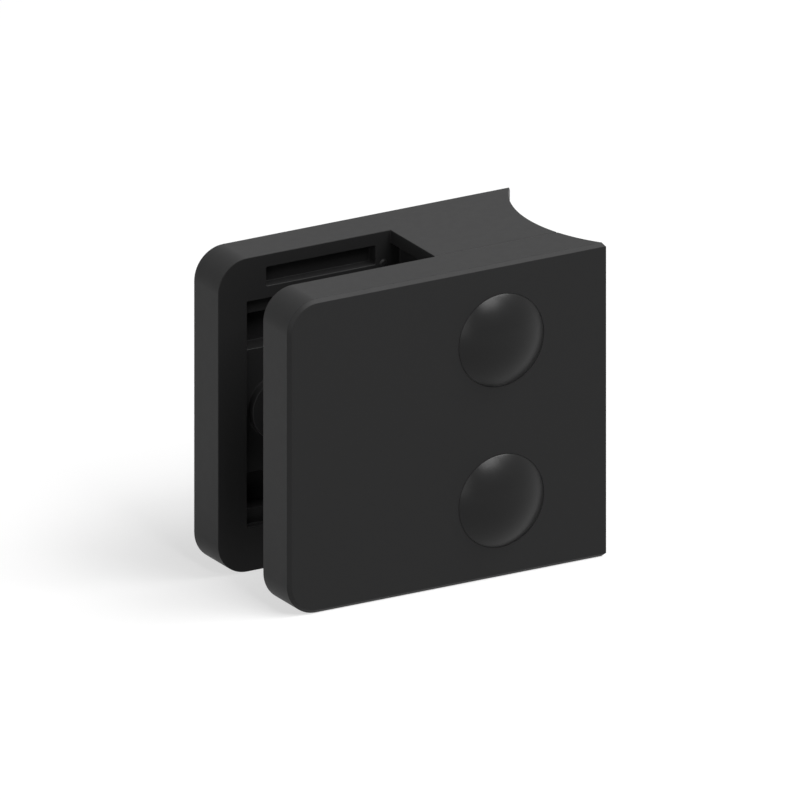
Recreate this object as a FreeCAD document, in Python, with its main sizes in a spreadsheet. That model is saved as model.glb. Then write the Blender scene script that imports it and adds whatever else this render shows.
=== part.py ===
import FreeCAD, Part
import math
import os
import Sketcher

# Glass panel clamp for a round post: a cast body with rear plate and web, a front plate drawn
# onto the web by two cap screws, and domed caps over the screw heads.
# Frame: origin where the post-screw axis leaves the saddle, +X into the post, -Y towards the
# front plate, +Z up. Millimetres.

DRIVING_SIZES = {
    # casting envelope
    "reach": 45.0,
    "height": 45.0,
    "slot_depth": 26.8,
    "slot_width": 12.0,
    "rear_thickness": 7.0,
    "front_thickness": 7.0,
    "corner_radius": 4.5,
    "rim_chamfer": 0.5,
    "seam_break": 0.15,
    "post_radius": 21.2,
    # seat for the rubber inlay, in the inner face of each plate
    "seat_edge_margin": 4.5,
    "seat_web_margin": 2.3,
    "seat_end_margin": 6.3,
    "seat_depth": 1.3,
    "seat_corner": 0.2,
    "stud_pocket_width": 5.2,
    "stud_pocket_end_margin": 8.5,
    "stud_pocket_depth": 4.35,
    "rib_slot_margin": 7.5,
    "rib_slot_width": 2.7,
    "rib_slot_end_margin": 1.85,
    "rib_slot_depth": 1.7,
    "pin_boss_radius": 4.45,
    "pin_boss_margin": 9.85,
    "nub_radius": 0.6,
    "nub_proud": 0.25,
    "nub_bevel": 0.2,
    "nub_web_margin": 1.1,
    "nub_end_margin": 4.6,
    # face of the web, inside the slot
    "web_recess_depth": 1.5,
    "web_recess_border": 1.9,
    # bore for the screw that fixes the clamp to its post
    "post_bore_radius": 3.3,
    "post_head_radius": 5.4,
    "post_head_depth": 4.5,
    # clamp screws
    "screw_end_margin": 11.0,
    "screw_setback": 11.9,
    "shank_radius": 3.0,
    "shank_length": 16.0,
    "shank_tip_chamfer": 0.7,
    "head_radius": 5.0,
    "head_length": 4.0,
    "head_edge": 0.4,
    "socket_flats": 4.0,
    "socket_depth": 2.0,
    "thread_clearance": 0.05,
    "thread_run_out": 1.5,
    "shank_clearance": 0.3,
    # counterbore and cover cap
    "cap_radius": 6.6,
    "cap_clearance": 0.03,
    "counterbore_depth": 4.6,
    "dome_height": 2.3,
    "skirt_thickness": 1.2,
    "cap_head_clearance": 0.2,
}

TOUCHING = 1e-4
LEAST_CHANGE = 1e-6

doc = FreeCAD.newDocument("GlassPanelClamp")
sheet = doc.addObject("Spreadsheet::Sheet", "Sizes")
for row, (size_name, size_value) in enumerate(DRIVING_SIZES.items(), start=1):
    sheet.set("A%d" % row, size_name)
    sheet.set("B%d" % row, str(size_value))
    sheet.setAlias("B%d" % row, size_name)
doc.recompute()


class Length:
    """A size as both the number and the sheet expression that gives it."""

    def __init__(self, text, value):
        self.text = text
        self.value = value

    def combine(self, sign, other, value):
        return Length("(%s %s %s)" % (self.text, sign, as_length(other).text), value)

    def __add__(self, other):
        return self.combine("+", other, self.value + as_length(other).value)

    def __sub__(self, other):
        return self.combine("-", other, self.value - as_length(other).value)

    def __truediv__(self, other):
        return self.combine("/", other, self.value / as_length(other).value)

    def __mul__(self, other):
        return self.combine("*", other, self.value * as_length(other).value)

    def __neg__(self):
        return self * -1


def as_length(size):
    return size if isinstance(size, Length) else Length(repr(size), size)


def driving(name):
    return Length("Sizes." + name, getattr(sheet, name))


HALF_HEIGHT = driving("height") / 2
SLOT_HALF = driving("slot_width") / 2
GLASS_EDGE = -driving("reach")
WEB_FACE = GLASS_EDGE + driving("slot_depth")
POST_AXIS = driving("post_radius")
REAR_FACE = SLOT_HALF + driving("rear_thickness")
FRONT_FACE = -SLOT_HALF - driving("front_thickness")
SCREW_X = -driving("screw_setback")
SCREW_Z = HALF_HEIGHT - driving("screw_end_margin")
HEAD_SEAT = FRONT_FACE + driving("counterbore_depth")


def new_body(label):
    body = doc.addObject("PartDesign::Body", label)
    body.Label = label
    return body


def origin_plane(body, role):
    return next(feature for feature in body.Origin.OriginFeatures if feature.Role == role)


def sketch_on(body, name, role, offset=None):
    """A sketch on one of the body's own origin planes, moved along the plane's normal."""
    sketch = body.newObject("Sketcher::SketchObject", name)
    sketch.AttachmentSupport = [(origin_plane(body, role), "")]
    sketch.MapMode = "FlatFace"
    if offset is not None:
        sketch.setExpression(".AttachmentOffset.Base.z", offset.text)
    return sketch


def sketch_facing_front(body, name, y):
    """A sketch in X and Z at depth y. Its normal points to the front, along -Y."""
    return sketch_on(body, name, "XZ_Plane", -y)


def constrain(sketch, constraint, length=None):
    index = sketch.addConstraint(constraint)
    if length is not None:
        name = "size%d" % index
        sketch.renameConstraint(index, name)
        sketch.setExpression("Constraints." + name, length.text)


def place_point(sketch, geometry, point, x, y):
    """Sets a point's two coordinates; None keeps it on the axis."""
    if x is None:
        constrain(sketch, Sketcher.Constraint("PointOnObject", geometry, point, -2))
    else:
        constrain(sketch, Sketcher.Constraint("DistanceX", -1, 1, geometry, point, x.value), x)
    if y is None:
        constrain(sketch, Sketcher.Constraint("PointOnObject", geometry, point, -1))
    else:
        constrain(sketch, Sketcher.Constraint("DistanceY", -1, 1, geometry, point, y.value), y)


def at(x, y):
    return FreeCAD.Vector(x.value if x else 0.0, y.value if y else 0.0, 0)


def draw_profile(sketch, points, arc_after=None):
    """A closed outline through the points. The side after point arc_after is a dome's arc."""
    lines = []
    for index, point in enumerate(points):
        start = at(*point)
        end = at(*points[(index + 1) % len(points)])
        if index == arc_after:
            lines.append(dome_arc(start, end))
        else:
            lines.append(Part.LineSegment(start, end))
    first = sketch.addGeometry(lines, False)[0]
    for index, point in enumerate(points):
        after = first + (index + 1) % len(points)
        constrain(sketch, Sketcher.Constraint("Coincident", first + index, 2, after, 1))
        place_point(sketch, first + index, 1, *point)
    if arc_after is not None:
        constrain(sketch, Sketcher.Constraint("PointOnObject", first + arc_after, 3, -2))


def dome_arc(rim, crown):
    """The arc from the rim to the crown on the axis, whose centre is on the axis too."""
    rise = crown.y - rim.y
    radius = (rim.x**2 + rise**2) / (2 * rise)
    centre = FreeCAD.Vector(0, crown.y - radius, 0)
    circle = Part.Circle(centre, FreeCAD.Vector(0, 0, 1), radius)
    rim_angle = math.atan2(rim.y - centre.y, rim.x)
    return Part.ArcOfCircle(circle, rim_angle, math.pi / 2)


def draw_rectangle(sketch, low_x, high_x, low_y, high_y):
    draw_profile(sketch, [(low_x, low_y), (high_x, low_y), (high_x, high_y), (low_x, high_y)])


def draw_circle(sketch, x, y, radius):
    circle = Part.Circle(at(x, y), FreeCAD.Vector(0, 0, 1), radius.value)
    index = sketch.addGeometry(circle, False)
    place_point(sketch, index, 3, x, y)
    constrain(sketch, Sketcher.Constraint("Radius", index, radius.value), radius)


def draw_rounded_rectangle(sketch, low_x, high_x, low_y, high_y, corner):
    """A rectangle whose corners are tangent arcs, drawn anticlockwise from the lower side."""
    low_left, high_right = at(low_x, low_y), at(high_x, high_y)
    r = corner.value
    corners = [
        FreeCAD.Vector(high_right.x - r, low_left.y + r, 0),
        FreeCAD.Vector(high_right.x - r, high_right.y - r, 0),
        FreeCAD.Vector(low_left.x + r, high_right.y - r, 0),
        FreeCAD.Vector(low_left.x + r, low_left.y + r, 0),
    ]
    up = FreeCAD.Vector(0, 0, 1)
    quarter = math.pi / 2
    arcs = []
    for turn, centre in enumerate(corners):
        start = (turn - 1) * quarter
        arcs.append(Part.ArcOfCircle(Part.Circle(centre, up, r), start, start + quarter))
    first = sketch.addGeometry(arcs, False)[0]
    sides = []
    for turn in range(4):
        start = arcs[turn - 1].EndPoint
        sides.append(Part.LineSegment(start, arcs[turn].StartPoint))
    side = sketch.addGeometry(sides, False)[0]
    for turn in range(4):
        before = first + (turn - 1) % 4
        constrain(sketch, Sketcher.Constraint("Tangent", before, 2, side + turn, 1))
        constrain(sketch, Sketcher.Constraint("Tangent", side + turn, 2, first + turn, 1))
        kind = "Horizontal" if turn % 2 == 0 else "Vertical"
        constrain(sketch, Sketcher.Constraint(kind, side + turn))
    for turn in range(1, 4):
        constrain(sketch, Sketcher.Constraint("Equal", first, first + turn))
    constrain(sketch, Sketcher.Constraint("Radius", first, r), corner)
    for index, length in ((0, low_y), (2, high_y)):
        position = Sketcher.Constraint("DistanceY", -1, 1, side + index, 1, length.value)
        constrain(sketch, position, length)
    for index, length in ((1, high_x), (3, low_x)):
        position = Sketcher.Constraint("DistanceX", -1, 1, side + index, 1, length.value)
        constrain(sketch, position, length)


def grow(body, kind, sketch, name, length=None, flipped=False):
    """Adds a pad or pocket and checks that it changes the body's volume the right way."""
    before = body.Shape.Volume if body.Tip else 0.0
    feature = body.newObject("PartDesign::" + kind, name)
    feature.Profile = sketch
    feature.Reversed = flipped
    if length is not None:
        feature.setExpression("Length", length.text)
    finish_feature(body, feature)
    check_volume(body, name, before, kind == "Pad")
    return feature


def finish_feature(body, feature):
    body.Tip = feature
    doc.recompute()


def check_volume(body, name, before, grows):
    change = body.Shape.Volume - before
    if (change > 0) != grows or abs(change) < LEAST_CHANGE:
        raise ValueError("%s %s changes the volume by %.4f" % (body.Label, name, change))


def pad(body, sketch, name, length, flipped=False):
    return grow(body, "Pad", sketch, name, length, flipped)


def pocket(body, sketch, name, length, flipped=False):
    return grow(body, "Pocket", sketch, name, length, flipped)


def mirror_below(body, features, name):
    """Repeats features from the upper half in the lower half."""
    before = body.Shape.Volume
    mirrored = body.newObject("PartDesign::Mirrored", name)
    mirrored.Originals = features
    mirrored.MirrorPlane = (origin_plane(body, "XY_Plane"), [""])
    finish_feature(body, mirrored)
    check_volume(body, name, before, features[0].TypeId == "PartDesign::Pad")


def edges_where(shape, keep):
    """Names of the edges whose every sampled point passes the test."""
    names = []
    for number, edge in enumerate(shape.Edges, start=1):
        if not edge.Degenerated and all(keep(point) for point in edge.discretize(5)):
            names.append("Edge%d" % number)
    return names


def near(one, other):
    return abs(one - other) < TOUCHING


def dress(body, kind, name, size_property, size, keep):
    """A fillet or chamfer on the edges that pass the test."""
    edges = edges_where(body.Shape, keep)
    if not edges:
        raise ValueError("%s %s finds no edge" % (body.Label, name))
    base = body.Tip
    before = body.Shape.Volume
    feature = body.newObject("PartDesign::" + kind, name)
    feature.Base = (base, edges)
    feature.setExpression(size_property, size.text)
    finish_feature(body, feature)
    check_volume(body, name, before, False)


def drill(body, sketch, name, radius, depth=None, flipped=False, head=None, pointed=False):
    """A round hole from each circle of the sketch, with an optional counterbore for a head."""
    before = body.Shape.Volume
    doc.recompute()
    hole = body.newObject("PartDesign::Hole", name)
    hole.Profile = sketch
    hole.Reversed = flipped
    hole.ThreadType = "None"
    hole.DepthType = "ThroughAll" if depth is None else "Dimension"
    hole.DrillPoint = "Angled" if pointed else "Flat"
    hole.setExpression("Diameter", (radius * 2).text)
    if depth is not None:
        hole.setExpression("Depth", depth.text)
    if head is not None:
        head_radius, head_depth = head
        hole.HoleCutType = "Counterbore"
        hole.HoleCutCustomValues = True
        hole.setExpression("HoleCutDiameter", (head_radius * 2).text)
        hole.setExpression("HoleCutDepth", head_depth.text)
    finish_feature(body, hole)
    check_volume(body, name, before, False)


def cast_plate(body, outer_y, thickness, flipped, prefix):
    """A clamping plate padded inwards from its outer face, with round corners at the glass edge."""
    outline = sketch_facing_front(body, prefix + "Outline", outer_y)
    draw_rectangle(outline, GLASS_EDGE, POST_AXIS, -HALF_HEIGHT, HALF_HEIGHT)
    pad(body, outline, prefix + "Pad", thickness, flipped)
    edge_x = GLASS_EDGE.value
    dress(
        body, "Fillet", prefix + "Corners", "Radius", driving("corner_radius"),
        lambda point: near(point.x, edge_x) and near(abs(point.z), HALF_HEIGHT.value),
    )
    post_x = POST_AXIS.value
    face_y = outer_y.value
    dress(
        body, "Chamfer", prefix + "Rim", "Size", driving("rim_chamfer"),
        lambda point: near(point.y, face_y) and not is_post_side(point, post_x),
    )


def is_post_side(point, post_x):
    """True on the plate's end that the saddle takes away, but not at its corners."""
    return near(point.x, post_x) and abs(point.z) < HALF_HEIGHT.value - TOUCHING


def cut_saddle(body, name):
    """The post's cylinder, cut through the whole height."""
    circle = sketch_on(body, name + "Circle", "XY_Plane")
    draw_circle(circle, POST_AXIS, None, driving("post_radius"))
    before = body.Shape.Volume
    saddle = body.newObject("PartDesign::Pocket", name)
    saddle.Profile = circle
    saddle.Type = "ThroughAll"
    saddle.SideType = "Symmetric"
    finish_feature(body, saddle)
    check_volume(body, name, before, False)


def cut_inlay_seat(body, face_y, inward_is_rear):
    """The recess, stud pockets, rib slots and pin boss that hold a rubber inlay in a plate."""
    flipped = not inward_is_rear
    left = GLASS_EDGE + driving("seat_edge_margin")
    right = WEB_FACE - driving("seat_web_margin")
    corner = driving("seat_corner")
    half_seat = HALF_HEIGHT - driving("seat_end_margin")

    recess = sketch_facing_front(body, "SeatOutline", face_y)
    draw_rounded_rectangle(recess, left, right, -half_seat, half_seat, corner)
    pocket(body, recess, "Seat", driving("seat_depth"), flipped)

    stud_high = HALF_HEIGHT - driving("stud_pocket_end_margin")
    stud_low = stud_high - driving("stud_pocket_width")
    studs = sketch_facing_front(body, "StudPocketOutline", face_y)
    draw_rounded_rectangle(studs, left, right, stud_low, stud_high, corner)
    stud = pocket(body, studs, "StudPocket", driving("stud_pocket_depth"), flipped)
    mirror_below(body, [stud], "StudPocketBelow")

    rib_left = GLASS_EDGE + driving("rib_slot_margin")
    rib_high = HALF_HEIGHT - driving("rib_slot_end_margin")
    rib_low = rib_high - driving("rib_slot_width")
    ribs = sketch_facing_front(body, "RibSlotOutline", face_y)
    draw_rounded_rectangle(ribs, rib_left, right, rib_low, rib_high, corner)
    rib = pocket(body, ribs, "RibSlot", driving("rib_slot_depth"), flipped)
    mirror_below(body, [rib], "RibSlotBelow")

    boss = sketch_facing_front(body, "PinBossOutline", face_y)
    draw_circle(boss, GLASS_EDGE + driving("pin_boss_margin"), None, driving("pin_boss_radius"))
    pad(body, boss, "PinBoss", driving("seat_depth"), inward_is_rear)


def add_nubs(body):
    """Two small bevelled nubs on the rear plate's inner face, beside the web."""
    nub_x = WEB_FACE - driving("nub_web_margin")
    sketch = sketch_facing_front(body, "NubOutline", SLOT_HALF)
    nub_z = HALF_HEIGHT - driving("nub_end_margin")
    draw_circle(sketch, nub_x, nub_z, driving("nub_radius"))
    nub = pad(body, sketch, "Nub", driving("nub_proud"))
    mirror_below(body, [nub], "NubBelow")
    top_y = (SLOT_HALF - driving("nub_proud")).value
    dress(
        body, "Chamfer", "NubTop", "Size", driving("nub_bevel"),
        lambda point: near(point.y, top_y),
    )


def make_rear_body():
    body = new_body("rear_body")
    cast_plate(body, REAR_FACE, driving("rear_thickness"), False, "Plate")

    web = sketch_on(body, "WebOutline", "XY_Plane")
    draw_rectangle(web, WEB_FACE, POST_AXIS, -SLOT_HALF, SLOT_HALF)
    before = body.Shape.Volume
    web_pad = body.newObject("PartDesign::Pad", "Web")
    web_pad.Profile = web
    web_pad.SideType = "Symmetric"
    web_pad.setExpression("Length", driving("height").text)
    finish_feature(body, web_pad)
    check_volume(body, "Web", before, True)

    cut_saddle(body, "Saddle")

    half_recess = HALF_HEIGHT - driving("web_recess_border")
    recess_floor = WEB_FACE + driving("web_recess_depth")
    recess = sketch_facing_front(body, "WebRecessOutline", -SLOT_HALF)
    draw_rectangle(recess, WEB_FACE, recess_floor, -half_recess, half_recess)
    pocket(body, recess, "WebRecess", driving("slot_width"))

    cut_inlay_seat(body, SLOT_HALF, True)
    add_nubs(body)

    threads = sketch_facing_front(body, "ThreadBoreCentres", -SLOT_HALF)
    for z in (SCREW_Z, -SCREW_Z):
        draw_circle(threads, SCREW_X, z, driving("shank_radius"))
    bore_radius = driving("shank_radius") + driving("thread_clearance")
    shank_in_body = driving("shank_length") - (-SLOT_HALF - HEAD_SEAT)
    bore_depth = shank_in_body + driving("thread_run_out")
    drill(body, threads, "ThreadBores", bore_radius, bore_depth, pointed=True)

    post_bore = sketch_on(body, "PostBoreCentre", "YZ_Plane", recess_floor)
    draw_circle(post_bore, None, None, driving("post_bore_radius"))
    head = (driving("post_head_radius"), driving("post_head_depth"))
    drill(body, post_bore, "PostBore", driving("post_bore_radius"), flipped=True, head=head)

    seam_y = -SLOT_HALF.value
    dress(
        body, "Chamfer", "SeamBreak", "Size", driving("seam_break"),
        lambda point: near(point.y, seam_y) and near(abs(point.z), HALF_HEIGHT.value),
    )
    return body


def make_front_plate():
    body = new_body("front_plate")
    cast_plate(body, FRONT_FACE, driving("front_thickness"), True, "Plate")
    cut_saddle(body, "Saddle")
    cut_inlay_seat(body, -SLOT_HALF, False)

    centres = sketch_facing_front(body, "ScrewHoleCentres", FRONT_FACE)
    for z in (SCREW_Z, -SCREW_Z):
        draw_circle(centres, SCREW_X, z, driving("shank_radius"))
    hole_radius = driving("shank_radius") + driving("shank_clearance")
    seat_radius = driving("cap_radius") + driving("cap_clearance")
    head = (seat_radius, driving("counterbore_depth"))
    drill(body, centres, "ScrewHoles", hole_radius, head=head)

    seam_y = -SLOT_HALF.value
    edge_x = GLASS_EDGE.value
    corner = driving("corner_radius").value
    dress(
        body, "Chamfer", "SeamBreak", "Size", driving("seam_break"),
        lambda point: near(point.y, seam_y) and on_outline(point, edge_x, corner),
    )
    return body


def on_outline(point, edge_x, corner):
    """True on a plate's top, bottom, glass edge and round corners."""
    if near(point.x, edge_x) or near(abs(point.z), HALF_HEIGHT.value):
        return True
    across = point.x - (edge_x + corner)
    up = abs(point.z) - (HALF_HEIGHT.value - corner)
    return across < 0 and up > 0 and near(math.hypot(across, up), corner)


def place_on_screw_axis(body, y, z):
    """Turns a body's own +Z to the front and puts its origin on a screw axis."""
    body.Placement = FreeCAD.Placement(
        FreeCAD.Vector(SCREW_X.value, y.value, z.value),
        FreeCAD.Rotation(FreeCAD.Vector(1, 0, 0), 90),
    )
    body.setExpression(".Placement.Base.x", SCREW_X.text)
    body.setExpression(".Placement.Base.y", y.text)
    body.setExpression(".Placement.Base.z", z.text)


def revolve(body, sketch, name):
    feature = body.newObject("PartDesign::Revolution", name)
    feature.Profile = sketch
    feature.ReferenceAxis = (sketch, ["V_Axis"])
    feature.Angle = 360.0
    finish_feature(body, feature)
    check_volume(body, name, 0.0, True)


def make_clamp_screw(label, z):
    """A low-head socket screw. Its own origin is under the head, +Z towards the key."""
    body = new_body(label)
    shank, head = driving("shank_radius"), driving("head_radius")
    head_top, edge = driving("head_length"), driving("head_edge")
    tip, bevel = -driving("shank_length"), driving("shank_tip_chamfer")
    profile = sketch_on(body, "Profile", "XZ_Plane")
    draw_profile(profile, [
        (None, head_top),
        (None, tip),
        (shank - bevel, tip),
        (shank, tip + bevel),
        (shank, None),
        (head, None),
        (head, head_top - edge),
        (head - edge, head_top),
    ])
    revolve(body, profile, "Turned")

    socket = sketch_on(body, "SocketOutline", "XY_Plane", head_top)
    draw_hexagon(socket, driving("socket_flats"))
    pocket(body, socket, "Socket", driving("socket_depth"))
    place_on_screw_axis(body, HEAD_SEAT, z)
    return body


def draw_hexagon(sketch, across_flats):
    """A regular hexagon about the origin, with corners on the sketch's X axis."""
    to_corner = across_flats / math.sqrt(3)
    points = []
    for turn in range(6):
        angle = turn * math.pi / 3
        x = to_corner * math.cos(angle)
        y = to_corner * math.sin(angle) if turn % 3 else None
        points.append((x, y))
    draw_profile(sketch, points)


def make_cover_cap(label, z):
    """A domed cap with a skirt round the screw head. Its own origin is in the plate's face."""
    body = new_body(label)
    outer = driving("cap_radius")
    inner = outer - driving("skirt_thickness")
    skirt_end = -driving("counterbore_depth")
    head_top = skirt_end + driving("head_length")
    ceiling = head_top + driving("cap_head_clearance")
    profile = sketch_on(body, "Profile", "XZ_Plane")
    draw_profile(profile, [
        (None, ceiling),
        (inner, ceiling),
        (inner, skirt_end),
        (outer, skirt_end),
        (outer, None),
        (None, driving("dome_height")),
    ], arc_after=4)
    revolve(body, profile, "Moulded")
    place_on_screw_axis(body, FRONT_FACE, z)
    return body


def make_all():
    made = [make_rear_body(), make_front_plate()]
    for side, z in (("upper", SCREW_Z), ("lower", -SCREW_Z)):
        made.append(make_clamp_screw("clamp_screw_" + side, z))
        made.append(make_cover_cap("cover_cap_" + side, z))
    doc.recompute()
    return made


def check_document():
    for item in doc.Objects:
        if "Invalid" in item.State or "Error" in item.State:
            raise ValueError("%s is in state %s" % (item.Label, item.State))


def export(bodies):
    os.makedirs("parts", exist_ok=True)
    for body in bodies:
        if body.Shape.isNull() or not body.Shape.isValid():
            raise ValueError(body.Label + " has no valid shape")
    for body in bodies:
        body.Shape.exportStep(os.path.join("parts", body.Label + ".step"))
        print("%s %.1f mm3, %d solid" % (body.Label, body.Shape.Volume, len(body.Shape.Solids)))


pieces = make_all()
check_document()
export(pieces)
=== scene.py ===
import bmesh
import bpy
import math
from mathutils import Matrix, Vector


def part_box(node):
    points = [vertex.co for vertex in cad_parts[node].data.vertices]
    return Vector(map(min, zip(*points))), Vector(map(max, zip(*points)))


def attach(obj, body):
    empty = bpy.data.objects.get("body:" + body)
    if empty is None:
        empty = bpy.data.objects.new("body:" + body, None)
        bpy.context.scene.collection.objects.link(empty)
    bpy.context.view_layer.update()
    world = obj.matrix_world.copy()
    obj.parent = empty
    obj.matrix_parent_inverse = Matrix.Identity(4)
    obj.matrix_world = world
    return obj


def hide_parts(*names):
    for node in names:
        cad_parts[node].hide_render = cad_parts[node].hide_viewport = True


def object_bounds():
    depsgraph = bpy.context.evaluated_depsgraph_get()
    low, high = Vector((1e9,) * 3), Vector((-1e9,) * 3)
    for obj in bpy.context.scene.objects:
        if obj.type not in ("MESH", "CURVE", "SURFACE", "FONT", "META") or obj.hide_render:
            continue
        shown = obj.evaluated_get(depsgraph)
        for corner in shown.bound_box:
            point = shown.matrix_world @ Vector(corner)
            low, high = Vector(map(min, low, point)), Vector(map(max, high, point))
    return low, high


# Looks of a glass panel clamp: powder-coated castings with small edge radii, satin plastic cover
# caps and turned steel screws with their real thread. Metres, +Z up, front towards -Y.

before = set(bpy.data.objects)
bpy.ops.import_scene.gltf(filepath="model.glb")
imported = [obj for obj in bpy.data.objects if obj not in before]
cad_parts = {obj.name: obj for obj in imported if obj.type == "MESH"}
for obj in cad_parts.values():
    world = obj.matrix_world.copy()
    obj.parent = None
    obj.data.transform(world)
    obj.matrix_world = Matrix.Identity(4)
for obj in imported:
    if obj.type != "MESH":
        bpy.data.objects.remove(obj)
cad_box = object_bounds()

MM = 0.001

# Castings
CAST_EDGE = 0.1 * MM            # radius that the mould and the coating leave on a square edge
PARTING_EDGE = 0.15 * MM        # the same where the two castings meet
CHAMFER_EDGE = 0.04 * MM        # the same on the shallow edges of the rim chamfer
CAP_SEAT_EDGE = 0.03 * MM       # the same where a cover cap sits in its seat
CAP_SEAT_ROOM = 0.1 * MM        # how far outside a cap its seat's edges may lie
SQUARE_TURN = math.radians(60)  # an edge that turns by less is one of the rim chamfer's
SHARP_TURN = math.radians(30)   # a smaller turn is one between the facets of a curved face
FLAT_TURN = math.radians(0.1)   # with a smaller turn, two faces are one flat face
CUSP = math.radians(20)         # edges that meet at less than this leave no room for a radius
ROOM_SHARE = 0.3                # share of a narrow face that one edge radius may take
EDGE_STEPS = 3
WELD = 0.001 * MM               # points closer together than this are one point

# Cover caps
CAP_SEGMENTS = 128
DOME_STEPS = 28
CAP_RIM = 0.07 * MM            # radius between the dome and the skirt
CAP_RIM_STEPS = 6
CAP_WALL = 1.2 * MM
CAP_LIP = 0.1 * MM             # bevel at the skirt's end and round the hollow's ceiling
CAP_CEILING = 4.2 * MM         # height of the hollow over the screw head

# Clamp screws: M6 with a low head
SCREW_SEGMENTS = 48
SHANK = 3.0 * MM
HEAD_LENGTH = 4.0 * MM
HEAD_EDGE = 0.4 * MM
HEAD_EDGE_STEPS = 4
HEAD_UNDERSIDE_EDGE = 0.12 * MM
NECK_FILLET = 0.2 * MM
SOCKET_FLATS = 4.0 * MM        # width of the key socket from flat to flat
SOCKET_DEPTH = 2.0 * MM
SOCKET_LEAD = 0.15 * MM        # bevel at the socket's mouth
PITCH = 1.0 * MM
THREAD_DEPTH = 0.61 * PITCH
THREAD_CREST = 0.125           # share of the pitch that the crest takes
THREAD_ROOT = 0.25             # share of the pitch that the root takes
PLAIN_NECK = 1.0 * MM          # length without a thread under the head
TIP_BEVEL = 0.7 * MM

# Powder coat on the castings
COAT_COLOUR = (0.0125, 0.0125, 0.0127, 1.0)
COAT_SPECULAR = 0.155
COAT_ROUGHNESS = 0.5
COAT_ROUGHNESS_ENDS = (0.49, 0.51)
COAT_PATCH = 1.2 * MM          # width of the patches in which the roughness varies
PEEL_WIDTH = 0.9 * MM          # orange peel
PEEL_DEPTH = 0.004 * MM
PEEL_DETAIL = 1.0
COAT_GRAIN_WIDTH = 0.12 * MM
COAT_GRAIN_DEPTH = 0.0008 * MM

# Plastic of the cover caps
PLASTIC_COLOUR = (0.006, 0.006, 0.0061, 1.0)
PLASTIC_SPECULAR = 0.2
PLASTIC_ROUGHNESS = 0.29
PLASTIC_ROUGHNESS_ENDS = (0.28, 0.3)
PLASTIC_PATCH = 1.2 * MM
PLASTIC_GRAIN_WIDTH = 0.2 * MM
PLASTIC_GRAIN_DEPTH = 0.0008 * MM

# Steel of the clamp screws
STEEL_COLOUR = (0.56, 0.56, 0.57, 1.0)
STEEL_ROUGHNESS = 0.3
STEEL_ROUGHNESS_ENDS = (0.26, 0.36)
STEEL_PATCH = 1.5 * MM
STEEL_PATCH_DETAIL = 3.0
GROOVE_WIDTH = 0.08 * MM       # turning grooves
GROOVE_DEPTH = 0.001 * MM

# Noise in all three
NOISE_DETAIL = 2.0
NOISE_RANGE = (0.3, 0.7)       # nearly all of a noise's values lie between these

# Camera: a parallel view at the photograph's angle
AZIMUTH = math.radians(-30)
ELEVATION = math.radians(20)
VIEW_WIDTH = 107.85 * MM
VIEW_RIGHT = 21.51 * MM        # from the middle of the glass edge to the middle of the view
VIEW_UP = 4.56 * MM
CAMERA_DISTANCE = 0.4

# Light
WHITE = (1.0, 1.0, 1.0, 1.0)
WORLD_FILL = 0.05              # strength of the even light from all round
FLOOR_HALF = 1.5               # half of the floor's side
FLOOR_GAP = 0.02 * MM          # keeps the floor clear of the object's bottom face
FLOOR_COLOUR = (0.4, 0.4, 0.4, 1.0)
FLOOR_GLOW = 0.62              # what the camera sees on top of the lit floor, to read as white
LAMP_DISTANCE = 1.5
LAMPS = (
    # name, direction from the object, width, radiance
    ("key", (0.10, -0.62, 0.78), 0.70, 8.4),
    ("overhead", (0.45, -0.30, 0.84), 0.70, 11.0),
    ("side", (-0.80, -0.55, 0.22), 1.25, 1.6),
)


def new_object(name, data):
    """An object in the scene that holds the given data."""
    thing = bpy.data.objects.new(name, data)
    bpy.context.scene.collection.objects.link(thing)
    return thing


def stand_for(node, name, mesh, body, material):
    """A finished piece that replaces a CAD node and rides on its body."""
    mesh.materials.clear()
    mesh.materials.append(material)
    piece = new_object(name, mesh)
    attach(piece, body)
    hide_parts(node)
    return piece


def mesh_of_faces(name, faces):
    """A mesh from faces given by their corner points; equal points become one vertex."""
    seen = {}
    vertices = []
    polygons = []
    for face in faces:
        corners = []
        for point in face:
            key = tuple(round(value / WELD) for value in point)
            index = seen.setdefault(key, len(vertices))
            if index == len(vertices):
                vertices.append(point)
            if index not in corners:
                corners.append(index)
        if len(corners) > 2:
            polygons.append(corners)
    mesh = bpy.data.meshes.new(name)
    mesh.from_pydata(vertices, [], polygons)
    mesh.validate()
    return mesh


def shade(mesh):
    """Smooth shading, sharp where the surface turns by more than a curved face's facets do."""
    mesh.polygons.foreach_set("use_smooth", [True] * len(mesh.polygons))
    mesh.set_sharp_from_angle(angle=SHARP_TURN)


def reach_of(face, edge):
    """How far a face reaches from one of its edges."""
    start, end = (vertex.co for vertex in edge.verts)
    along = (end - start).normalized()
    reach = 0.0
    for vertex in face.verts:
        offset = vertex.co - start
        reach = max(reach, (offset - along * offset.dot(along)).length)
    return reach


def ends_in_cusp(edge):
    """Whether another sharp edge runs into this one at an angle that leaves no room for a radius."""
    for face in edge.link_faces:
        for corner in face.loops:
            sides = (corner.edge, corner.link_loop_prev.edge)
            if edge in sides and corner.calc_angle() < CUSP:
                if all(side.calc_face_angle(0.0) > SHARP_TURN for side in sides):
                    return True
    return False


def in_seat(point, cap):
    """Whether a point lies in the space that a cover cap takes up, or just beside it."""
    low, high = cap
    middle = (low + high) / 2
    across = math.hypot(point.x - middle.x, point.z - middle.z)
    return across < high.x - middle.x + CAP_SEAT_ROOM and point.y < high.y + CAP_SEAT_ROOM


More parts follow.
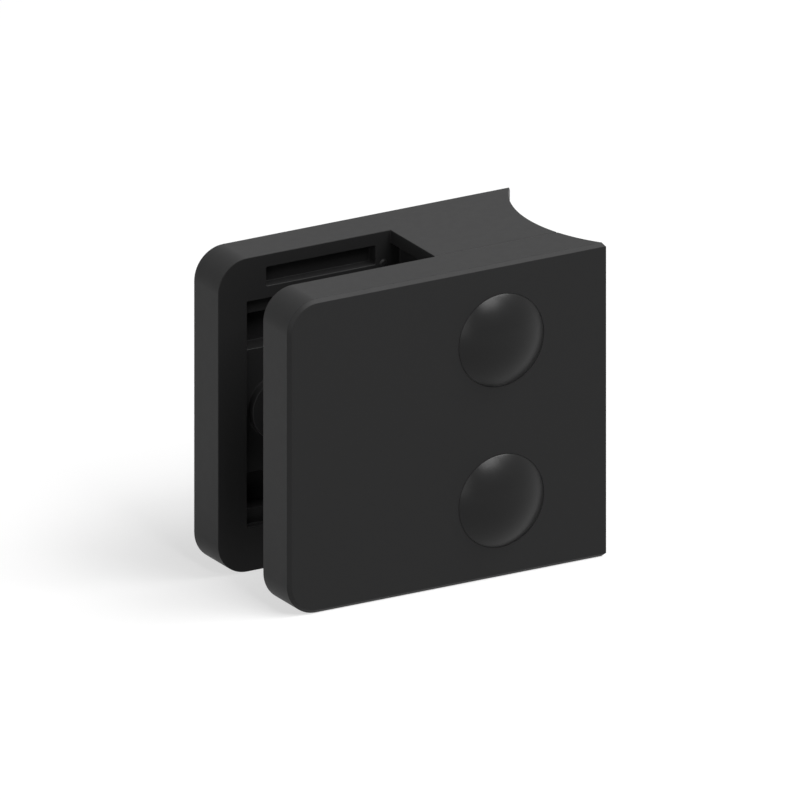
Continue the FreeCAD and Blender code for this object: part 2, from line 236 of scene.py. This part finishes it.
def edge_radius(edge, parting, caps):
    """The radius on one edge of a casting, less where a face beside it is narrow."""
    if len(edge.link_faces) != 2:
        return 0.0
    turn = edge.calc_face_angle(0.0)
    if turn < SHARP_TURN or ends_in_cusp(edge):
        return 0.0
    wanted = CAST_EDGE if turn > SQUARE_TURN else CHAMFER_EDGE
    if any(all(in_seat(vertex.co, cap) for vertex in edge.verts) for cap in caps):
        wanted = CAP_SEAT_EDGE
    if all(abs(vertex.co.y - parting) < WELD for vertex in edge.verts):
        wanted = PARTING_EDGE
    return min(wanted, ROOM_SHARE * min(reach_of(face, edge) for face in edge.link_faces))


def sharp_copy(node, name):
    """The node's form in as few flat faces as it has, with a weight for each edge's radius."""
    shape = bmesh.new()
    shape.from_mesh(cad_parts[node].data)
    bmesh.ops.remove_doubles(shape, verts=shape.verts, dist=WELD)
    bmesh.ops.dissolve_limit(shape, angle_limit=FLAT_TURN, verts=shape.verts, edges=shape.edges)
    weight = shape.edges.layers.float.new("bevel_weight_edge")
    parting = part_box("rear_body")[0].y
    caps = [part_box("cover_cap_" + side) for side in ("upper", "lower")]
    for edge in shape.edges:
        edge[weight] = edge_radius(edge, parting, caps) / PARTING_EDGE
    mesh = bpy.data.meshes.new(name)
    shape.to_mesh(mesh)
    shape.free()
    return new_object(name, mesh)


def round_edges(thing):
    """Gives each edge the radius that its weight stands for."""
    bevel = thing.modifiers.new("edge_radii", "BEVEL")
    bevel.limit_method = "WEIGHT"
    bevel.offset_type = "OFFSET"
    bevel.width = PARTING_EDGE
    bevel.segments = EDGE_STEPS
    bevel.use_clamp_overlap = False
    bevel.loop_slide = False


def with_modifiers(thing):
    """The object's mesh as its modifiers make it; the object itself goes."""
    graph = bpy.context.evaluated_depsgraph_get()
    mesh = bpy.data.meshes.new_from_object(thing.evaluated_get(graph), depsgraph=graph)
    bpy.data.objects.remove(thing)
    return mesh


def make_casting(node, body, material):
    """A casting with small radii on its edges, shaded flat where its faces are flat."""
    work = sharp_copy(node, node + "_sharp")
    round_edges(work)
    mesh = with_modifiers(work)
    shade(mesh)
    piece = stand_for(node, node + "_cast", mesh, body, material)
    flats = piece.modifiers.new("flat_faces", "WEIGHTED_NORMAL")
    flats.keep_sharp = True
    return piece


def ring(radius_at, height, segments):
    """Points round the Z axis at one height; radius_at gives the radius at an angle."""
    points = []
    for step in range(segments):
        angle = math.tau * step / segments
        radius = radius_at(angle)
        points.append((radius * math.cos(angle), radius * math.sin(angle), height))
    return points


def skin(rings):
    """Faces between each ring of points and the next."""
    faces = []
    for above, below in zip(rings, rings[1:]):
        count = len(above)
        for step in range(count):
            after = (step + 1) % count
            faces.append((above[step], below[step], below[after], above[after]))
    return faces


def turned(profile, segments):
    """Rings for a section of radius and height pairs."""
    return [ring(lambda angle: radius, height, segments) for radius, height in profile]


def arc(centre_radius, centre_height, radius, start, end, steps):
    """Section points on an arc, as pairs of radius and height."""
    points = []
    for step in range(steps + 1):
        angle = start + (end - start) * step / steps
        across = radius * math.cos(angle)
        points.append((centre_radius + across, centre_height + radius * math.sin(angle)))
    return points


def lay_on_screw_axis(mesh, x, y, z):
    """Turns +Z to the front and moves the origin to a point on a screw's axis."""
    turn = Matrix.Rotation(math.radians(90), 4, "X")
    mesh.transform(Matrix.Translation((x, y, z)) @ turn)


def cap_section(outer, dome, skirt):
    """The cap's section from the crown over the rim and skirt to the middle of its hollow."""
    sphere = (outer**2 + dome**2) / (2 * dome)
    centre = dome - sphere
    rim_radius = outer - CAP_RIM
    rim_height = centre + math.sqrt((sphere - CAP_RIM)**2 - rim_radius**2)
    meet = math.atan2(rim_height - centre, rim_radius)
    section = arc(0.0, centre, sphere, math.pi / 2, meet, DOME_STEPS)
    section += arc(rim_radius, rim_height, CAP_RIM, meet, 0.0, CAP_RIM_STEPS)
    inner = outer - CAP_WALL
    ceiling = CAP_CEILING - skirt
    return section + [
        (outer, CAP_LIP - skirt),
        (outer - CAP_LIP, -skirt),
        (inner + CAP_LIP, -skirt),
        (inner, CAP_LIP - skirt),
        (inner, ceiling - CAP_LIP),
        (inner - CAP_LIP, ceiling),
        (0.0, ceiling),
    ]


def make_cap(node, body, material):
    """A domed cap, hollow over the screw head."""
    low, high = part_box(node)
    plate_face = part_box("front_plate")[0].y
    section = cap_section((high.x - low.x) / 2, plate_face - low.y, high.y - plate_face)
    mesh = mesh_of_faces(node, skin(turned(section, CAP_SEGMENTS)))
    lay_on_screw_axis(mesh, (low.x + high.x) / 2, plate_face, (low.z + high.z) / 2)
    shade(mesh)
    return stand_for(node, node + "_moulded", mesh, body, material)


def hexagon(angle):
    """The key socket's outline as a radius at each angle, with corners on the X axis."""
    sector = math.pi / 3
    return SOCKET_FLATS / 2 / math.cos(angle % sector - sector / 2)


def head_rings(head):
    """The head, from the middle of the socket's floor to the plain neck under the head."""
    floor = HEAD_LENGTH - SOCKET_DEPTH
    rings = [
        ring(lambda angle: 0.0, floor, SCREW_SEGMENTS),
        ring(hexagon, floor, SCREW_SEGMENTS),
        ring(hexagon, HEAD_LENGTH - SOCKET_LEAD, SCREW_SEGMENTS),
        ring(lambda angle: hexagon(angle) + SOCKET_LEAD, HEAD_LENGTH, SCREW_SEGMENTS),
    ]
    corner = (head - HEAD_EDGE, HEAD_LENGTH - HEAD_EDGE)
    section = arc(*corner, HEAD_EDGE, math.pi / 2, 0.0, HEAD_EDGE_STEPS)
    section += [
        (head, HEAD_UNDERSIDE_EDGE),
        (head - HEAD_UNDERSIDE_EDGE, 0.0),
        (SHANK + NECK_FILLET, 0.0),
        (SHANK, -NECK_FILLET),
        (SHANK, -PLAIN_NECK),
    ]
    return rings + turned(section, SCREW_SEGMENTS)


def thread_depth(phase):
    """Depth under the crest over one pitch: crest, flank, root, flank."""
    flank = (1 - THREAD_CREST - THREAD_ROOT) / 2
    down = (phase - THREAD_CREST) / flank
    up = (1 - phase) / flank
    return THREAD_DEPTH * max(0.0, min(1.0, down, up))


def thread_faces(length):
    """A right-hand thread from the neck to the tip, its rows running along the helix."""
    flank = (1 - THREAD_CREST - THREAD_ROOT) / 2
    phases = (0.0, THREAD_CREST, THREAD_CREST + flank, 1 - flank)
    per_turn = len(phases)
    turns = math.ceil((length - PLAIN_NECK) / PITCH) + 1

    def point(row, step):
        """Corner of one row; rows past an end lie on that end's circle."""
        turn, part = divmod(row, per_turn)
        phase = phases[part]
        along = PITCH * (turn + phase - step / SCREW_SEGMENTS)
        along = max(0.0, min(length - PLAIN_NECK, along))
        run_out = min(1.0, along / PITCH)
        to_tip = length - PLAIN_NECK - along
        radius = min(SHANK - thread_depth(phase) * run_out, SHANK - TIP_BEVEL + to_tip)
        angle = math.tau * step / SCREW_SEGMENTS
        return (radius * math.cos(angle), radius * math.sin(angle), -PLAIN_NECK - along)

    faces = []
    for row in range(-1, turns * per_turn):
        for step in range(SCREW_SEGMENTS):
            corners = ((row, step), (row + 1, step), (row + 1, step + 1), (row, step + 1))
            faces.append([point(*corner) for corner in corners])
    return faces


def make_screw(node, body, material):
    """A clamp screw with its key socket and its thread."""
    low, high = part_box(node)
    length = high.y - low.y - HEAD_LENGTH
    tip = [(SHANK - TIP_BEVEL, -length), (0.0, -length)]
    faces = skin(head_rings((high.x - low.x) / 2))
    faces += thread_faces(length)
    faces += skin(turned(tip, SCREW_SEGMENTS))
    mesh = mesh_of_faces(node, faces)
    lay_on_screw_axis(mesh, (low.x + high.x) / 2, low.y + HEAD_LENGTH, (low.z + high.z) / 2)
    shade(mesh)
    return stand_for(node, node + "_turned", mesh, body, material)


def new_material(name, colour, roughness, metallic=0.0):
    """A material whose shader has the plain values on its own sockets."""
    material = bpy.data.materials.new(name)
    material.use_nodes = True
    shader = material.node_tree.nodes["Principled BSDF"]
    shader.inputs["Base Color"].default_value = colour
    shader.inputs["Roughness"].default_value = roughness
    shader.inputs["Metallic"].default_value = metallic
    return material, shader


def noise(tree, grain, detail=NOISE_DETAIL, vector=None):
    """Noise whose grains are that many metres wide, by default in the object's coordinates."""
    texture = tree.nodes.new("ShaderNodeTexNoise")
    texture.inputs["Scale"].default_value = 1 / grain
    texture.inputs["Detail"].default_value = detail
    if vector is None:
        vector = tree.nodes.new("ShaderNodeTexCoord").outputs["Object"]
    tree.links.new(vector, texture.inputs["Vector"])
    return texture.outputs["Fac"]


def bumps(tree, shader, heights):
    """Relief from pairs of a height signal and its depth in metres."""
    normal = None
    for signal, depth in heights:
        bump = tree.nodes.new("ShaderNodeBump")
        bump.inputs["Strength"].default_value = 1.0
        bump.inputs["Distance"].default_value = depth
        tree.links.new(signal, bump.inputs["Height"])
        if normal is not None:
            tree.links.new(normal, bump.inputs["Normal"])
        normal = bump.outputs["Normal"]
    tree.links.new(normal, shader.inputs["Normal"])


def varied_roughness(tree, shader, signal, ends):
    """Roughness that follows a noise from the first of two ends to the other."""
    spread = tree.nodes.new("ShaderNodeMapRange")
    spread.inputs["From Min"].default_value = NOISE_RANGE[0]
    spread.inputs["From Max"].default_value = NOISE_RANGE[1]
    spread.inputs["To Min"].default_value = ends[0]
    spread.inputs["To Max"].default_value = ends[1]
    tree.links.new(signal, spread.inputs["Value"])
    tree.links.new(spread.outputs["Result"], shader.inputs["Roughness"])


def powder_coat():
    """Matt black powder coat: soft orange peel with a finer grain on it."""
    material, shader = new_material("powder_coat", COAT_COLOUR, COAT_ROUGHNESS)
    shader.inputs["Specular IOR Level"].default_value = COAT_SPECULAR
    tree = material.node_tree
    peel = noise(tree, PEEL_WIDTH, PEEL_DETAIL)
    grain = noise(tree, COAT_GRAIN_WIDTH)
    bumps(tree, shader, ((peel, PEEL_DEPTH), (grain, COAT_GRAIN_DEPTH)))
    varied_roughness(tree, shader, noise(tree, COAT_PATCH), COAT_ROUGHNESS_ENDS)
    return material


def cap_plastic():
    """Satin black plastic with the fine grain of its mould."""
    material, shader = new_material("cap_plastic", PLASTIC_COLOUR, PLASTIC_ROUGHNESS)
    shader.inputs["Specular IOR Level"].default_value = PLASTIC_SPECULAR
    tree = material.node_tree
    grain = noise(tree, PLASTIC_GRAIN_WIDTH)
    bumps(tree, shader, ((grain, PLASTIC_GRAIN_DEPTH),))
    varied_roughness(tree, shader, noise(tree, PLASTIC_PATCH), PLASTIC_ROUGHNESS_ENDS)
    return material


def turned_steel(name, x, z):
    """Bright turned steel, with fine grooves round the screw's axis at x and z."""
    material, shader = new_material(name, STEEL_COLOUR, STEEL_ROUGHNESS, metallic=1.0)
    tree = material.node_tree
    split = tree.nodes.new("ShaderNodeSeparateXYZ")
    place = tree.nodes.new("ShaderNodeTexCoord").outputs["Object"]
    tree.links.new(place, split.inputs["Vector"])
    from_axis = tree.nodes.new("ShaderNodeVectorMath")
    from_axis.operation = "DISTANCE"
    across = tree.nodes.new("ShaderNodeCombineXYZ")
    tree.links.new(split.outputs["X"], across.inputs["X"])
    tree.links.new(split.outputs["Z"], across.inputs["Z"])
    tree.links.new(across.outputs["Vector"], from_axis.inputs[0])
    from_axis.inputs[1].default_value = (x, 0.0, z)
    section = tree.nodes.new("ShaderNodeCombineXYZ")
    tree.links.new(from_axis.outputs["Value"], section.inputs["X"])
    tree.links.new(split.outputs["Y"], section.inputs["Y"])
    grooves = noise(tree, GROOVE_WIDTH, vector=section.outputs["Vector"])
    bumps(tree, shader, ((grooves, GROOVE_DEPTH),))
    patches = noise(tree, STEEL_PATCH, STEEL_PATCH_DETAIL)
    varied_roughness(tree, shader, patches, STEEL_ROUGHNESS_ENDS)
    return material


def seen_directly(tree):
    """1 for rays from the camera and in reflections and glass, 0 for light on the object."""
    path = tree.nodes.new("ShaderNodeLightPath")
    signal = path.outputs["Is Camera Ray"]
    for name in ("Is Glossy Ray", "Is Transmission Ray"):
        either = tree.nodes.new("ShaderNodeMath")
        either.operation = "MAXIMUM"
        tree.links.new(signal, either.inputs[0])
        tree.links.new(path.outputs[name], either.inputs[1])
        signal = either.outputs["Value"]
    return signal


def make_world():
    """White behind the object, and an even fill light at its own level."""
    world = bpy.data.worlds.new("studio")
    bpy.context.scene.world = world
    world.use_nodes = True
    tree = world.node_tree
    fill = tree.nodes["Background"]
    fill.inputs["Color"].default_value = WHITE
    fill.inputs["Strength"].default_value = WORLD_FILL
    backdrop = tree.nodes.new("ShaderNodeBackground")
    backdrop.inputs["Color"].default_value = WHITE
    backdrop.inputs["Strength"].default_value = 1.0
    choose = tree.nodes.new("ShaderNodeMixShader")
    tree.links.new(seen_directly(tree), choose.inputs["Fac"])
    tree.links.new(fill.outputs["Background"], choose.inputs[1])
    tree.links.new(backdrop.outputs["Background"], choose.inputs[2])
    tree.links.new(choose.outputs["Shader"], tree.nodes["World Output"].inputs["Surface"])


def make_floor():
    """A pale floor under the object that reads as white and keeps the soft shadow."""
    low = cad_box[0].z - FLOOR_GAP
    half = FLOOR_HALF
    corners = [(-half, -half, low), (half, -half, low), (half, half, low), (-half, half, low)]
    floor = new_object("floor", mesh_of_faces("floor", [corners]))
    material = bpy.data.materials.new("floor")
    material.use_nodes = True
    tree = material.node_tree
    tree.nodes.remove(tree.nodes["Principled BSDF"])
    paper = tree.nodes.new("ShaderNodeBsdfDiffuse")
    paper.inputs["Color"].default_value = FLOOR_COLOUR
    glow = tree.nodes.new("ShaderNodeEmission")
    level = tree.nodes.new("ShaderNodeMath")
    level.operation = "MULTIPLY"
    level.inputs[1].default_value = FLOOR_GLOW
    tree.links.new(seen_directly(tree), level.inputs[0])
    tree.links.new(level.outputs["Value"], glow.inputs["Strength"])
    both = tree.nodes.new("ShaderNodeAddShader")
    tree.links.new(paper.outputs["BSDF"], both.inputs[0])
    tree.links.new(glow.outputs["Emission"], both.inputs[1])
    tree.links.new(both.outputs["Shader"], tree.nodes["Material Output"].inputs["Surface"])
    floor.data.materials.append(material)


def make_lamp(name, direction, width, radiance):
    """A square soft box that faces the object's middle."""
    towards = Vector(direction).normalized()
    light = bpy.data.lights.new(name, "AREA")
    light.shape = "SQUARE"
    light.size = width
    light.energy = math.pi * width**2 * radiance
    lamp = new_object(name, light)
    middle = (cad_box[0] + cad_box[1]) / 2
    lamp.location = middle + towards * LAMP_DISTANCE
    lamp.rotation_mode = "QUATERNION"
    lamp.rotation_quaternion = towards.to_track_quat("Z", "Y")


def make_camera():
    """The photograph's parallel view."""
    data = bpy.data.cameras.new("camera")
    data.type = "ORTHO"
    data.ortho_scale = VIEW_WIDTH
    camera = new_object("camera", data)
    right = Vector((math.cos(AZIMUTH), math.sin(AZIMUTH), 0.0))
    back = Vector((
        math.sin(AZIMUTH) * math.cos(ELEVATION),
        -math.cos(AZIMUTH) * math.cos(ELEVATION),
        math.sin(ELEVATION),
    ))
    up = back.cross(right)
    glass_edge = Vector((cad_box[0].x, 0.0, 0.0))
    target = glass_edge + right * VIEW_RIGHT + up * VIEW_UP
    camera.location = target + back * CAMERA_DISTANCE
    camera.rotation_mode = "QUATERNION"
    camera.rotation_quaternion = back.to_track_quat("Z", "Y")
    bpy.context.scene.camera = camera


def make_object():
    """The two castings, the two caps and the two screws."""
    coat = powder_coat()
    plastic = cap_plastic()
    make_casting("rear_body", "rear_body", coat)
    make_casting("front_plate", "front_plate", coat)
    for side in ("upper", "lower"):
        make_cap("cover_cap_" + side, "front_plate", plastic)
        low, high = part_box("clamp_screw_" + side)
        middle = (low + high) / 2
        steel = turned_steel("turned_steel_" + side, middle.x, middle.z)
        make_screw("clamp_screw_" + side, side + "_screw", steel)


make_object()
make_floor()
make_world()
for lamp_row in LAMPS:
    make_lamp(*lamp_row)
make_camera()
bpy.context.scene.view_settings.view_transform = "Standard"
